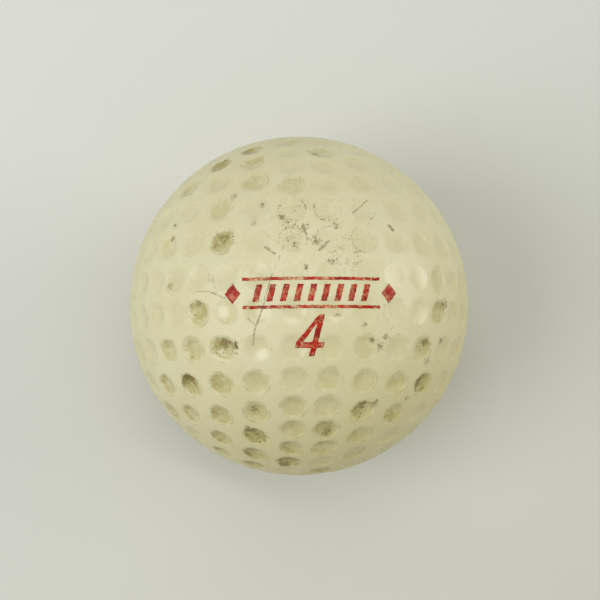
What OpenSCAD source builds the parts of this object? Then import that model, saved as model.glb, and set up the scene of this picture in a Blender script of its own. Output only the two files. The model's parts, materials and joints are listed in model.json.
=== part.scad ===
/* Thread-wound golf ball with a liquid centre, a two-part moulded cover and a printed play number.
   The origin is the centre of the ball and +Z runs through the printed pole. */

/* [Ball] */
// Diameter over the cover
ball_d = 42.67; // [41:0.01:52]
// Wall of the moulded cover
cover_t = 1.9; // [1.2:0.05:2.4]

/* [Dimples] */
// Dimples along one edge of each of the eight triangular fields
rows = 9; // [6:1:9]
// Diameter of a dimple at its rim
dimple_d = 3.05; // [2.2:0.05:3.2]
// Depth of a dimple below the plane of its rim
dimple_depth = 0.26; // [0.15:0.01:0.4]
// How much the rows spread out around the six corners of the fields
corner_spread = 0.06; // [0:0.01:0.1]

/* [Liquid centre] */
// Outside diameter of the rubber sac that holds the liquid
sac_d = 27.8; // [24:0.1:32]
// Wall of the sac
sac_t = 2.4; // [1.5:0.1:3.5]
// Height of the bevelled joint between the two sac halves, along the axis
sac_bevel_h = 1.2; // [0.6:0.1:2]
// Diameter of the self-sealing pellet that the sac is filled through
pellet_d = 7; // [4:0.1:9]
// Thickness of the pellet at its middle
pellet_t = 1.1; // [0.6:0.1:1.8]

/* [Winding] */
// Thickness of the layer of wide rubber tape wound on the sac
tape_t = 1.6; // [0.8:0.1:3]

/* [Prints] */
// Thickness of the ink
ink_t = 0.05; // [0.03:0.01:0.12]
// Height of the play number
digit_h = 4.5; // [3:0.1:6]
// Width of the play number at its base line
digit_w = 3.1; // [2:0.1:4]
// Width of a stroke of the play number
stroke_w = 0.62; // [0.4:0.02:1]
// Clear space between the band and the top of the play number
digit_gap = 0.65; // [0.2:0.05:3]
// Length of the printed band
band_l = 18.4; // [13:0.1:20]
// Height of the printed band
band_h = 3.4; // [2.4:0.1:4]
// Thickness of the band's two rules
rule_w = 0.34; // [0.2:0.02:0.6]
// Number of slanted bars in the band
bar_count = 9; // [5:1:12]
// Width of one bar
bar_w = 0.66; // [0.4:0.02:1]
// Lean of the bars and of the play number, degrees
lean = 14; // [0:1:25]

/* [Hidden] */
$fn = 96;

ball_r = ball_d / 2;
core_r = ball_r - cover_t;
sac_r = sac_d / 2;
sac_bore_r = sac_r - sac_t;
tape_r = sac_r + tape_t;
pellet_face_z = sac_bore_r - pellet_t;

// The play number hangs under the band.
digit_drop = band_h / 2 + digit_gap + digit_h / 2;

// A dimple is a cap of a sphere: its radius from rim and depth, and how far out its centre lies.
rim_r = dimple_d / 2;
dimple_r = (rim_r * rim_r + dimple_depth * dimple_depth) / (2 * dimple_depth);
dimple_c = sqrt(ball_r * ball_r - rim_r * rim_r) + sqrt(dimple_r * dimple_r - rim_r * rim_r);

// The cutter of a dimple is trimmed just outside its rim, so that neighbours keep clear of each other.
rim_spare = 0.08;
cutter_top = ball_r + 0.4;

// The prints reach this far from the pole, which says which dimples they cross.
print_reach = max(norm([band_l, band_h]) / 2, digit_drop + digit_h) + dimple_d;
over = 1;
big = 3 * ball_r;

// Spacing rule of the rows: a sine, spread a little towards the corners of the fields.
function row_step(t) = let (u = 90 * t / rows) sin(u) + corner_spread * sin(2 * u);

// Direction of the dimple in row i, row j of a field, counted from the field's edges.
function dimple_way(i, j) =
  let (v = [row_step(i + 0.5), row_step(j + 0.5), row_step(rows - 0.5 - i - j)]) v / norm(v);

// The dimples of the upper half: four triangular fields around the pole.
function upper_ways() = [
  for (sx = [1, -1], sy = [1, -1], i = [0 : rows - 1], j = [0 : rows - 1 - i])
    let (v = dimple_way(i, j)) [sx * v[0], sy * v[1], v[2]]
];

function near_pole(v) = ball_r * norm([v[0], v[1]]) < print_reach;

// Cutter of one dimple at the top of the ball: the cap of a sphere inside a short drum.
module dimple_cutter(grow) {
  intersection() {
    translate([0, 0, dimple_c]) sphere(r = dimple_r + grow);
    translate([0, 0, ball_r - 1]) cylinder(h = cutter_top - ball_r + 1, r = rim_r + rim_spare);
  }
}

module dimple_cutters(ways, grow = 0) {
  for (v = ways)
    rotate([0, acos(v[2]), atan2(v[1], v[0])]) dimple_cutter(grow);
}

module upper_half() {
  translate([0, 0, big / 2]) cube(big, center = true);
}

// The printed part of the ball's surface, sunk by a depth.
module printed_form(depth) {
  difference() {
    sphere(r = ball_r - depth);
    dimple_cutters([for (v = upper_ways()) if (near_pole(v)) v], depth);
  }
}

// A flat figure carried straight up through the printed pole.
module stamp_block() {
  translate([0, 0, core_r * 0.7]) linear_extrude(ball_r - core_r * 0.7 + over) children();
}

// A coat of ink of even thickness that follows land and dimples.
module ink() {
  difference() {
    intersection() {
      stamp_block() children();
      printed_form(0);
    }
    printed_form(ink_t);
  }
}

// The shallow bed that the ink lies in.
module ink_bed() {
  difference() {
    stamp_block() children();
    printed_form(ink_t);
  }
}

// Leaning figures are sheared along X, in proportion to their height.
function leaned(points) = [for (p = points) [p[0] + p[1] * tan(lean), p[1]]];

module bar(x, half_h) {
  polygon(leaned([
    [x - bar_w / 2, -half_h], [x + bar_w / 2, -half_h], [x + bar_w / 2, half_h], [x - bar_w / 2, half_h]
  ]));
}

module lozenge(x, half_w, half_h) {
  polygon([[x - half_w, 0], [x, -half_h], [x + half_w, 0], [x, half_h]]);
}

// Two long rules with a row of slanted bars between them and a lozenge at each end.
module band_figure() {
  end_w = band_h / 2;
  gap = rule_w * 1.3;
  bars_l = band_l - 2 * end_w - 4 * gap;
  pitch = bars_l / bar_count;
  for (side = [-1, 1])
    translate([0, side * (band_h - rule_w) / 2])
      square([band_l - 2 * end_w, rule_w], center = true);
  for (n = [0 : bar_count - 1])
    bar(-bars_l / 2 + (n + 0.5) * pitch, band_h / 2 - rule_w - gap);
  for (side = [-1, 1])
    lozenge(side * (band_l / 2 - end_w / 2 + gap / 2), end_w / 2, band_h / 3);
}

// A plain figure four: a sloping stroke, a cross stroke and an upright, sheared to lean.
module number_figure() {
  cross_y = -digit_h / 2 + digit_h * 0.27;
  post_x = digit_w * 0.16;
  top = digit_h / 2;
  translate([0, -digit_drop])
    difference() {
      polygon(leaned([
        [post_x - stroke_w / 2, -top], [post_x + stroke_w / 2, -top],
        [post_x + stroke_w / 2, cross_y - stroke_w / 2], [digit_w / 2, cross_y - stroke_w / 2],
        [digit_w / 2, cross_y + stroke_w / 2], [post_x + stroke_w / 2, cross_y + stroke_w / 2],
        [post_x + stroke_w / 2, top], [post_x - stroke_w / 2, top],
        [-digit_w / 2, cross_y + stroke_w / 2], [-digit_w / 2, cross_y - stroke_w / 2],
        [post_x - stroke_w / 2, cross_y - stroke_w / 2]
      ]));
      polygon(leaned([
        [-digit_w / 2 + stroke_w * 1.15, cross_y + stroke_w / 2],
        [post_x - stroke_w / 2, cross_y + stroke_w / 2],
        [post_x - stroke_w / 2, top - stroke_w * 1.5]
      ]));
    }
}

// The lower half carries the same prints, turned over about the X axis.
module turned_over() {
  rotate([180, 0, 0]) children();
}

// Half of the cover, pole up: a dimpled cup with beds for its two prints.
module cover_half() {
  difference() {
    intersection() {
      sphere(r = ball_r);
      upper_half();
    }
    sphere(r = core_r);
    dimple_cutters(upper_ways());
    ink_bed() band_figure();
    ink_bed() number_figure();
  }
}

// All above the bevelled joint of the sac, which slopes up from the bore to the outside.
module above_bevel() {
  slope = sac_bevel_h / sac_t;
  rotate_extrude()
    polygon([
      [0, -sac_bevel_h / 2 - sac_bore_r * slope],
      [sac_r + over, sac_bevel_h / 2 + over * slope],
      [sac_r + over, sac_r + over], [0, sac_r + over]
    ]);
}

module sac_shell() {
  difference() {
    sphere(r = sac_r);
    sphere(r = sac_bore_r);
  }
}

module pellet_cap() {
  intersection() {
    sphere(r = sac_bore_r);
    translate([0, 0, pellet_face_z]) cylinder(h = pellet_t + over, d = pellet_d);
  }
}

module centre_liquid() {
  color([0.72, 0.56, 0.34])
    difference() {
      sphere(r = sac_bore_r);
      pellet_cap();
    }
}

module filling_pellet() {
  color([0.16, 0.15, 0.14]) pellet_cap();
}

module sac_upper() {
  color([0.30, 0.25, 0.22])
    intersection() {
      sac_shell();
      above_bevel();
    }
}

module sac_lower() {
  color([0.26, 0.22, 0.20])
    difference() {
      sac_shell();
      above_bevel();
    }
}

module tape_winding() {
  color([0.78, 0.62, 0.36])
    difference() {
      sphere(r = tape_r);
      sphere(r = sac_r);
    }
}

module thread_winding() {
  color([0.86, 0.76, 0.52])
    difference() {
      sphere(r = core_r);
      sphere(r = tape_r);
    }
}

module cover_upper() {
  color([0.84, 0.81, 0.66]) cover_half();
}

module cover_lower() {
  color([0.82, 0.79, 0.64]) turned_over() cover_half();
}

module number_upper() {
  color([0.78, 0.10, 0.09]) ink() number_figure();
}

module band_upper() {
  color([0.80, 0.12, 0.10]) ink() band_figure();
}

module number_lower() {
  color([0.78, 0.10, 0.09]) turned_over() ink() number_figure();
}

module band_lower() {
  color([0.80, 0.12, 0.10]) turned_over() ink() band_figure();
}

centre_liquid();
sac_lower();
sac_upper();
filling_pellet();
tape_winding();
thread_winding();
cover_lower();
cover_upper();
number_upper();
band_upper();
number_lower();
band_lower();
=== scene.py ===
"""A worn, thread-wound golf ball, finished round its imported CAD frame.

All lengths are metres unless a name ends in _mm.  The centre of the ball is the origin and +Z runs
through the middle of the upper print.  Each surface is worked out as whole numpy arrays.
"""
from __future__ import annotations

import json
import logging
import math
from collections.abc import Callable
from dataclasses import dataclass, field
from enum import Enum
from functools import cached_property

import bpy
import numpy as np
from mathutils import Matrix, Vector

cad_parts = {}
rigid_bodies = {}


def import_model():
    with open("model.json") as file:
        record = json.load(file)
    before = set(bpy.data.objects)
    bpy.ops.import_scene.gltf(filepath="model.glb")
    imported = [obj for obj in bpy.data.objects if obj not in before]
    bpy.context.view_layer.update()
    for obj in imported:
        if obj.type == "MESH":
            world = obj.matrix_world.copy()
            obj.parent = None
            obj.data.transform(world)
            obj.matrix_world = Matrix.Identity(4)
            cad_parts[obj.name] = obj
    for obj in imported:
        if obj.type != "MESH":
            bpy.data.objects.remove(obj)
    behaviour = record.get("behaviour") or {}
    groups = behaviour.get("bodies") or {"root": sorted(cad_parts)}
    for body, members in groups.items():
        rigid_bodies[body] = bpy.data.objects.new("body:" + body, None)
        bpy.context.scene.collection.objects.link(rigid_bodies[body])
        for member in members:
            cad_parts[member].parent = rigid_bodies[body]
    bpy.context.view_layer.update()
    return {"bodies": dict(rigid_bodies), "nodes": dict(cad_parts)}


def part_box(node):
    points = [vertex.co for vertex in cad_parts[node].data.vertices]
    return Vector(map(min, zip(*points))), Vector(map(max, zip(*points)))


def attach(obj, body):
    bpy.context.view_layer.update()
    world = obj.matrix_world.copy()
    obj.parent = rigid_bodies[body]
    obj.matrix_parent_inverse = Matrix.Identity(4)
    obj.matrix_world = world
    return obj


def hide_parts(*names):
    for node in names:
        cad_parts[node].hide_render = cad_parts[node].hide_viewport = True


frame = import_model()
LOG = logging.getLogger("golf_ball")
MM = 0.001
SEED = 1968
Array = np.ndarray
Colour = tuple[float, float, float, float]


def srgb(red: int, green: int, blue: int) -> Colour:
    """Screen colour, 0 to 255, as the linear colour that shaders use.

    Args:
        red: red of the screen colour.
        green: green of the screen colour.
        blue: blue of the screen colour.

    Returns:
        The linear colour with an alpha of 1.
    """
    level = np.array([red, green, blue]) / 255.0
    linear = np.where(level <= 0.04045, level / 12.92, ((level + 0.055) / 1.055) ** 2.4)
    return (float(linear[0]), float(linear[1]), float(linear[2]), 1.0)


def smooth_step(low: float, high: float, value: Array) -> Array:
    """0 below low, 1 above high, and the cubic 3t^2 - 2t^3 between.

    Args:
        low: where the step starts.
        high: where the step ends.
        value: the values to grade.

    Returns:
        The graded values, 0 to 1.
    """
    t = np.clip((value - low) / (high - low), 0.0, 1.0)
    return t * t * (3.0 - 2.0 * t)


def unit(vectors: Array) -> Array:
    """Each row scaled to length 1."""
    return vectors / np.linalg.norm(vectors, axis=-1, keepdims=True)


class Pole(Enum):
    """The two halves of the ball, with the signs that turn the upper one into each."""

    UPPER = ("upper", (1.0, 1.0, 1.0))
    LOWER = ("lower", (1.0, -1.0, -1.0))

    @property
    def word(self) -> str:
        """Name of the half, as the CAD nodes end."""
        return self.value[0]

    @property
    def turn(self) -> Array:
        """Signs of half a turn about X, or of no turn."""
        return np.array(self.value[1])


# Sizes and surfaces


@dataclass(frozen=True)
class BallSizes:
    """Radii of the ball's layers, read from the frame."""

    ball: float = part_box("cover_upper")[1].z
    core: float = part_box("thread_winding")[1].x
    tape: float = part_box("tape_winding")[1].x
    sac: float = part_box("sac_upper")[1].z


@dataclass(frozen=True)
class DimpleLayout:
    """Rows of dimples on the eight triangular fields of an octahedron blown up to a ball."""

    rows: int = 9
    corner_spread: float = 0.06

    def row_step(self, count: Array) -> Array:
        """Spacing rule: sin(u) plus a little sin(2u), with u a quarter turn over all rows."""
        u = math.pi / 2 * count / self.rows
        return np.sin(u) + self.corner_spread * np.sin(2 * u)

    @cached_property
    def field_ways(self) -> Array:
        """Directions of the dimples of the field where x, y and z are all positive."""
        i, j = np.meshgrid(np.arange(self.rows), np.arange(self.rows), indexing="ij")
        inside = i + j < self.rows
        i, j = i[inside], j[inside]
        counts = np.stack([i + 0.5, j + 0.5, self.rows - 0.5 - i - j], axis=1)
        return unit(self.row_step(counts))

    def nearest(self, ways: Array) -> tuple[Array, Array]:
        """The dimple nearest to each direction: fold to the first field, then take the best match.

        Args:
            ways: unit directions, one a row.

        Returns:
            The unit direction of the nearest dimple and its number, one for each row.
        """
        signs = np.where(ways < 0, -1.0, 1.0)
        best = np.argmax((ways * signs) @ self.field_ways.T, axis=1)
        field_code = ((signs < 0) @ np.array([1, 2, 4])).astype(int)
        return self.field_ways[best] * signs, best + field_code * len(self.field_ways)

    @property
    def total(self) -> int:
        """Number of dimples on the whole ball."""
        return 8 * len(self.field_ways)


@dataclass(frozen=True)
class Patch:
    """A round region of the ball with a soft edge, centred over a place given in millimetres."""

    x_mm: float
    y_mm: float
    reach_mm: float
    z_sign: float = 1.0

    def share(self, places_mm: Array, radius_mm: float) -> Array:
        """1 at the centre of the region, falling as a bell curve over its reach.

        Args:
            places_mm: points on the ball, one a row.
            radius_mm: radius of the ball.

        Returns:
            The share of the region at each point, 0 to 1.
        """
        height = math.sqrt(max(radius_mm**2 - self.x_mm**2 - self.y_mm**2, 0.0)) * self.z_sign
        gap = np.linalg.norm(places_mm - np.array([self.x_mm, self.y_mm, height]), axis=1)
        return np.exp(-((gap / self.reach_mm) ** 2))


@dataclass(frozen=True)
class CoverSurface:
    """The dimpled outside of the ball: how far each direction's surface lies from the centre."""

    sizes: BallSizes = field(default_factory=BallSizes)
    layout: DimpleLayout = field(default_factory=DimpleLayout)
    rim_radius: float = 1.525 * MM
    dimple_depth: float = 0.26 * MM
    rim_softness: float = 0.012 * MM
    seam_depth: float = 0.035 * MM
    seam_width: float = 0.16 * MM
    wave_height: float = 0.006 * MM
    bald_patches: tuple[Patch, ...] = (
        Patch(6.0, 9.0, 9.0), Patch(-1.0, 8.0, 7.0), Patch(12.0, -1.0, 6.0),
    )
    bald_share: float = 0.6

    @cached_property
    def cap_radius(self) -> float:
        """Radius of the sphere that a dimple is a cap of, from its rim and its depth."""
        return (self.rim_radius**2 + self.dimple_depth**2) / (2 * self.dimple_depth)

    @cached_property
    def cap_centre(self) -> float:
        """Distance of that sphere's centre from the centre of the ball."""
        ball, rim, cap = self.sizes.ball, self.rim_radius, self.cap_radius
        return math.sqrt(ball**2 - rim**2) + math.sqrt(cap**2 - rim**2)

    def dimple_offset(self, ways: Array) -> tuple[Array, Array, Array]:
        """Each direction's place in its nearest dimple.

        Args:
            ways: unit directions, one a row.

        Returns:
            Distance from the dimple's axis, the unit way out from that axis, and the dimple's number.
        """
        centres, numbers = self.layout.nearest(ways)
        across = ways - centres * np.sum(ways * centres, axis=1, keepdims=True)
        distance = np.linalg.norm(across, axis=1)
        outward = across / np.maximum(distance, 1e-9)[:, None]
        return distance * self.sizes.ball, outward, numbers

    def bald(self, ways: Array) -> Array:
        """Share of the surface's relief that wear has taken, 0 to about 0.6."""
        places = ways * self.sizes.ball / MM
        patches = np.stack([p.share(places, self.sizes.ball / MM) for p in self.bald_patches])
        return self.bald_share * np.clip(patches.sum(axis=0), 0.0, 1.0)

    def waviness(self, ways: Array) -> Array:
        """Slow unevenness of a moulded and played ball: a few crossed sine waves, about 1."""
        x, y, z = (ways * 7.0).T
        return (np.sin(x + 1.3 * y) + np.sin(1.7 * y - z + 1.0) + np.sin(2.1 * z + 0.6 * x + 2.0)) / 3.0

    def radii(self, ways: Array) -> Array:
        """Distance of the surface from the centre along each direction.

        The land is a sphere.  In a dimple the surface is the near side of the cap's sphere:
        c cos(a) - sqrt(s^2 - c^2 sin^2(a)), with c its centre's distance, s its radius and a the
        angle off its axis.  The smaller of the two is taken with a soft corner.

        Args:
            ways: unit directions, one a row.

        Returns:
            The radii, one for each row.
        """
        distance, _, _ = self.dimple_offset(ways)
        sine = distance / self.sizes.ball
        cosine = np.sqrt(np.maximum(1.0 - sine**2, 0.0))
        reach = np.maximum(self.cap_radius**2 - (self.cap_centre * sine) ** 2, 0.0)
        cap = self.cap_centre * cosine - np.sqrt(reach)
        cap = np.where(sine * self.sizes.ball < 1.6 * self.rim_radius, cap, self.sizes.ball + 1.0 * MM)
        depth = self.sizes.ball - cap
        soft = self.rim_softness
        sunk = soft * np.logaddexp(0.0, depth / soft)
        sunk = sunk * (1.0 - self.bald(ways))
        seam = self.seam_depth * np.exp(-((ways[:, 2] * self.sizes.ball / self.seam_width) ** 2))
        return self.sizes.ball - sunk - seam - self.wave_height * (1.0 + self.waviness(ways))


# Grids and meshes


def dome_ways(cells: int) -> Array:
    """Unit directions over the upper half of a ball, on a square grid wrapped on to the dome.

    A square of side 2 is bent into a disc so that each square ring becomes a circle, and the disc's
    radius becomes the angle from the pole, a quarter turn at the rim.

    Args:
        cells: cells along one side of the square.

    Returns:
        (cells + 1)^2 directions, row by row.
    """
    line = np.linspace(-1.0, 1.0, cells + 1)
    a, b = np.meshgrid(line, line, indexing="ij")
    wide = np.abs(a) > np.abs(b)
    ring = np.where(wide, a, b)
    safe_a = np.where(a == 0, 1.0, a)
    safe_b = np.where(b == 0, 1.0, b)
    turn = np.where(wide, math.pi / 4 * b / safe_a, math.pi / 2 - math.pi / 4 * a / safe_b)
    polar = ring * math.pi / 2
    way = np.stack([np.sin(polar) * np.cos(turn), np.sin(polar) * np.sin(turn), np.cos(polar)], axis=-1)
    return way.reshape(-1, 3)


def grid_quads(rows: int, columns: int) -> Array:
    """Corner numbers of every cell of a grid of points, counter-clockwise.

    Args:
        rows: cells down the grid.
        columns: cells across the grid.

    Returns:
        One row of four point numbers for each cell.
    """
    number = np.arange((rows + 1) * (columns + 1)).reshape(rows + 1, columns + 1)
    corners = [number[:-1, :-1], number[1:, :-1], number[1:, 1:], number[:-1, 1:]]
    return np.stack(corners, axis=-1).reshape(-1, 4)


def grid_border(cells: int) -> Array:
    """Point numbers round the edge of a square grid, in one loop without repeats."""
    number = np.arange((cells + 1) ** 2).reshape(cells + 1, cells + 1)
    return np.concatenate([number[:-1, 0], number[-1, :-1], number[:0:-1, -1], number[0, :0:-1]])


def weld(points: Array, faces: Array) -> tuple[Array, Array]:
    """Joins points that lie at one place, to a tenth of a micrometre.

    Args:
        points: the points, one a row.
        faces: point numbers of each face, one face a row.

    Returns:
        The points without repeats, and the faces numbered to match.
    """
    keys = np.round(points / 1e-7).astype(np.int64)
    _, first, back = np.unique(keys, axis=0, return_index=True, return_inverse=True)
    return points[first], back.reshape(-1)[faces]


def make_piece(
    name: str, points: Array, faces: list[Array], values: dict[str, Array] | None = None
) -> bpy.types.Object:
    """Makes a smooth-shaded mesh object at the origin from arrays.

    Args:
        name: name of the piece.
        points: its points, one a row.
        faces: arrays of faces, each with its own number of corners.
        values: named numbers for each point, for the material to read.

    Returns:
        The new object, in the scene's collection.
    """
    mesh = bpy.data.meshes.new(name)
    mesh.from_pydata(points.tolist(), [], [row for block in faces for row in block.tolist()])
    for label, numbers in (values or {}).items():
        layer = mesh.attributes.new(label, "FLOAT", "POINT")
        layer.data.foreach_set("value", numbers.astype(np.float32))
    mesh.shade_smooth()
    mesh.update()
    piece = bpy.data.objects.new(name, mesh)
    bpy.context.scene.collection.objects.link(piece)
    return piece


# Shader nodes

Socket = bpy.types.NodeSocket
Feed = float | tuple | Socket


class Graph:
    """A node tree with short methods for the nodes that the finishes use."""

    def __init__(self, tree: bpy.types.NodeTree) -> None:
        """Keeps the tree that the nodes go into."""
        self.tree = tree

    def add(self, kind: str, **settings: object) -> bpy.types.Node:
        """Adds a node of a kind and sets its options."""
        node = self.tree.nodes.new(kind)
        for key, value in settings.items():
            setattr(node, key, value)
        return node

    def feed(self, socket: Socket, value: Feed) -> None:
        """Links a socket to another, or sets its plain value."""
        if isinstance(value, Socket):
            self.tree.links.new(value, socket)
        else:
            socket.default_value = value

    def math(self, operation: str, *values: Feed) -> Socket:
        """A Math node's result."""
        node = self.add("ShaderNodeMath", operation=operation)
        for socket, value in zip(node.inputs, values):
            self.feed(socket, value)
        return node.outputs[0]

    def plus(self, first: Feed, second: Feed) -> Socket:
        """The sum of two values."""
        return self.math("ADD", first, second)

    def times(self, first: Feed, second: Feed) -> Socket:
        """The product of two values."""
        return self.math("MULTIPLY", first, second)

    def most(self, first: Feed, second: Feed) -> Socket:
        """The greater of two values."""
        return self.math("MAXIMUM", first, second)

    def vector(self, operation: str, *values: Feed) -> Socket:
        """A Vector Math node's result, a number for DOT_PRODUCT and LENGTH."""
        node = self.add("ShaderNodeVectorMath", operation=operation)
        sockets = [node.inputs[0], node.inputs["Scale"]] if operation == "SCALE" else node.inputs
        for socket, value in zip(sockets, values):
            self.feed(socket, value)
        return node.outputs["Value" if operation in ("DOT_PRODUCT", "LENGTH") else "Vector"]

    def mix(self, factor: Feed, first: Feed, second: Feed) -> Socket:
        """A colour mix: first where the factor is 0, second where it is 1."""
        node = self.add("ShaderNodeMix", data_type="RGBA")
        for index, value in ((0, factor), (6, first), (7, second)):
            self.feed(node.inputs[index], value)
        return node.outputs[2]

    def grade(self, value: Feed, low: Feed, high: Feed, start: float = 0.0, end: float = 1.0) -> Socket:
        """A smooth step from start to end as the value goes from low to high."""
        node = self.add("ShaderNodeMapRange", interpolation_type="SMOOTHSTEP")
        for index, number in enumerate((value, low, high, start, end)):
            self.feed(node.inputs[index], number)
        return node.outputs[0]

    def noise(self, place: Feed, scale: Feed, detail: float = 2.0, rough: float = 0.5) -> Socket:
        """Soft noise, 0 to 1, with a scale in features per unit of place."""
        node = self.add("ShaderNodeTexNoise")
        settings = {"Vector": place, "Scale": scale, "Detail": detail, "Roughness": rough}
        for label, value in settings.items():
            self.feed(node.inputs[label], value)
        return node.outputs[0]

    def value_of(self, name: str) -> Socket:
        """A named number that the mesh carries."""
        return self.add("ShaderNodeAttribute", attribute_name=name).outputs["Fac"]

    def place_mm(self) -> Socket:
        """Object coordinates, in millimetres."""
        coordinates = self.add("ShaderNodeTexCoord").outputs["Object"]
        return self.vector("SCALE", coordinates, 1.0 / MM)

    def on_sphere(self, place: Socket, radius: float) -> Socket:
        """The place carried straight out or in to a sphere about the origin."""
        return self.vector("SCALE", self.vector("NORMALIZE", place), radius)

    def use(self, group: bpy.types.NodeTree, **inputs: Feed) -> Socket:
        """Places a shared group, feeds its inputs by name and gives its output."""
        node = self.add("ShaderNodeGroup", node_tree=group)
        for key, value in inputs.items():
            self.feed(node.inputs[key.capitalize()], value)
        return node.outputs[0]

    def bump(self, height: Socket, distance: float, strength: float = 1.0) -> Socket:
        """The normal of a surface with that height on it, the distance being its full depth."""
        node = self.add("ShaderNodeBump")
        node.inputs["Strength"].default_value = strength
        node.inputs["Distance"].default_value = distance
        self.feed(node.inputs["Height"], height)
        return node.outputs["Normal"]


class SharedEffects:
    """Node groups that several finishes use, each built once."""

    def __init__(self) -> None:
        """Starts with no group built."""
        self.built: dict[str, bpy.types.NodeTree] = {}

    def group(
        self, name: str, vectors: tuple, numbers: tuple, result: str, fill: Callable
    ) -> bpy.types.NodeTree:
        """Builds a group on first use and gives the same one afterwards.

        Args:
            name: name of the group.
            vectors: names of its vector inputs.
            numbers: names of its number inputs.
            result: name of its one output, a number.
            fill: makes the nodes from the graph and the input sockets, and gives the output's socket.

        Returns:
            The node group.
        """
        if name not in self.built:
            tree = bpy.data.node_groups.new(name, "ShaderNodeTree")
            kinds = [(label, "Vector") for label in vectors] + [(label, "Float") for label in numbers]
            for label, kind in kinds:
                tree.interface.new_socket(name=label, in_out="INPUT", socket_type="NodeSocket" + kind)
            tree.interface.new_socket(name=result, in_out="OUTPUT", socket_type="NodeSocketFloat")
            graph = Graph(tree)
            mask = fill(graph, graph.add("NodeGroupInput").outputs)
            graph.feed(graph.add("NodeGroupOutput").inputs[result], mask)
            self.built[name] = tree
        return self.built[name]

    def tone(self) -> bpy.types.NodeTree:
        """Slow blotches of shade, at two sizes, as a factor about 0.5."""

        def fill(g: Graph, ins: bpy.types.NodeInputs) -> Socket:
            """Two sizes of noise, averaged."""
            wide = g.noise(ins["Place"], ins["Scale"], 1.0)
            fine = g.noise(ins["Place"], g.times(ins["Scale"], 4.3), 3.0, 0.6)
            mean = g.times(g.plus(wide, fine), 0.5)
            return g.grade(mean, 0.35, 0.65)

        return self.group("Slow tone", ("Place",), ("Scale",), "Factor", fill)

    def crumbs(self) -> bpy.types.NodeTree:
        """Crumbs of dirt of uneven shape, as a mask: the peaks of a rough noise above a level."""

        def fill(g: Graph, ins: bpy.types.NodeInputs) -> Socket:
            """The more favour a place has, the lower the level that its noise must pass."""
            rough = g.noise(ins["Place"], ins["Scale"], 4.0, 0.72)
            level = g.plus(rough, g.times(ins["Favour"], 0.3))
            return g.grade(level, 0.72, 0.78)

        return self.group("Dirt crumbs", ("Place",), ("Scale", "Favour"), "Mask", fill)

    def hairlines(self) -> bpy.types.NodeTree:
        """Short, straight, very thin scratches in one direction, as a mask."""

        def fill(g: Graph, ins: bpy.types.NodeInputs) -> Socket:
            """Noise drawn out along one axis of a turned place, only its peaks kept."""
            turned = g.add("ShaderNodeVectorRotate", rotation_type="Z_AXIS")
            g.feed(turned.inputs["Vector"], ins["Place"])
            g.feed(turned.inputs["Angle"], ins["Angle"])
            drawn = g.vector("MULTIPLY", turned.outputs[0], (0.35, 5.5, 0.6))
            level = g.plus(g.noise(drawn, 1.0, 2.0, 0.5), g.times(ins["Favour"], 0.07))
            return g.grade(level, 0.77, 0.84)

        return self.group("Hairline scratches", ("Place",), ("Angle", "Favour"), "Mask", fill)

    def scar(self) -> bpy.types.NodeTree:
        """A thin line between two places that wanders a little, as a mask."""

        def fill(g: Graph, ins: bpy.types.NodeInputs) -> Socket:
            """Distance from the segment, with the place pushed about by noise, under the width."""
            bent = g.add("ShaderNodeTexNoise")
            g.feed(bent.inputs["Vector"], ins["Place"])
            bent.inputs["Scale"].default_value = 1.6
            push = g.vector("SUBTRACT", bent.outputs["Color"], (0.5, 0.5, 0.5))
            place = g.vector("ADD", ins["Place"], g.vector("SCALE", push, ins["Wander"]))
            along = g.vector("SUBTRACT", ins["End"], ins["Start"])
            gone = g.vector("SUBTRACT", place, ins["Start"])
            shadow, squared = g.vector("DOT_PRODUCT", gone, along), g.vector("DOT_PRODUCT", along, along)
            ratio = g.math("DIVIDE", shadow, squared)
            share = g.math("MINIMUM", g.most(ratio, 0.0), 1.0)
            gap = g.vector("LENGTH", g.vector("SUBTRACT", gone, g.vector("SCALE", along, share)))
            uneven = g.grade(g.noise(ins["Place"], 2.3, 2.0), 0.3, 0.6, 0.6, 1.0)
            width = g.times(ins["Width"], uneven)
            broken = g.grade(g.noise(ins["Place"], 4.5, 3.0, 0.7), 0.36, 0.54, 0.25, 1.0)
            return g.times(g.grade(gap, width, g.times(width, 0.3)), broken)

        return self.group("Scar line", ("Place", "Start", "End"), ("Width", "Wander"), "Mask", fill)

    def relief(self) -> bpy.types.NodeTree:
        """Fine unevenness of a surface, as a height about 0.5."""

        def fill(g: Graph, ins: bpy.types.NodeInputs) -> Socket:
            """Broad ripples plus grain."""
            ripple = g.noise(ins["Place"], ins["Scale"], 2.0)
            grain = g.noise(ins["Place"], g.times(ins["Scale"], 7.0), 3.0, 0.65)
            return g.plus(g.times(ripple, 0.7), g.times(grain, ins["Grain"]))

        return self.group("Fine relief", ("Place",), ("Scale", "Grain"), "Height", fill)


# Finishes


@dataclass(frozen=True)
class Scar:
    """A crack or scratch, its ends given over the upper pole in millimetres."""

    start_mm: tuple[float, float]
    end_mm: tuple[float, float]
    width_mm: float
    wander_mm: float = 0.3
    strength: float = 1.0

    def lifted(self, x: float, y: float) -> tuple[float, float, float]:
        """The point of the ball's upper half over x and y, in millimetres."""
        radius = BallSizes().ball / MM
        return (x, y, math.sqrt(radius**2 - x**2 - y**2))

    def mask(self, graph: Graph, effects: SharedEffects, place: Socket) -> Socket:
        """The scar's mask, times its strength."""
        mask = graph.use(
            effects.scar(), place=place, start=self.lifted(*self.start_mm), end=self.lifted(*self.end_mm),
            width=self.width_mm, wander=self.wander_mm,
        )
        return graph.times(mask, self.strength)


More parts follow.
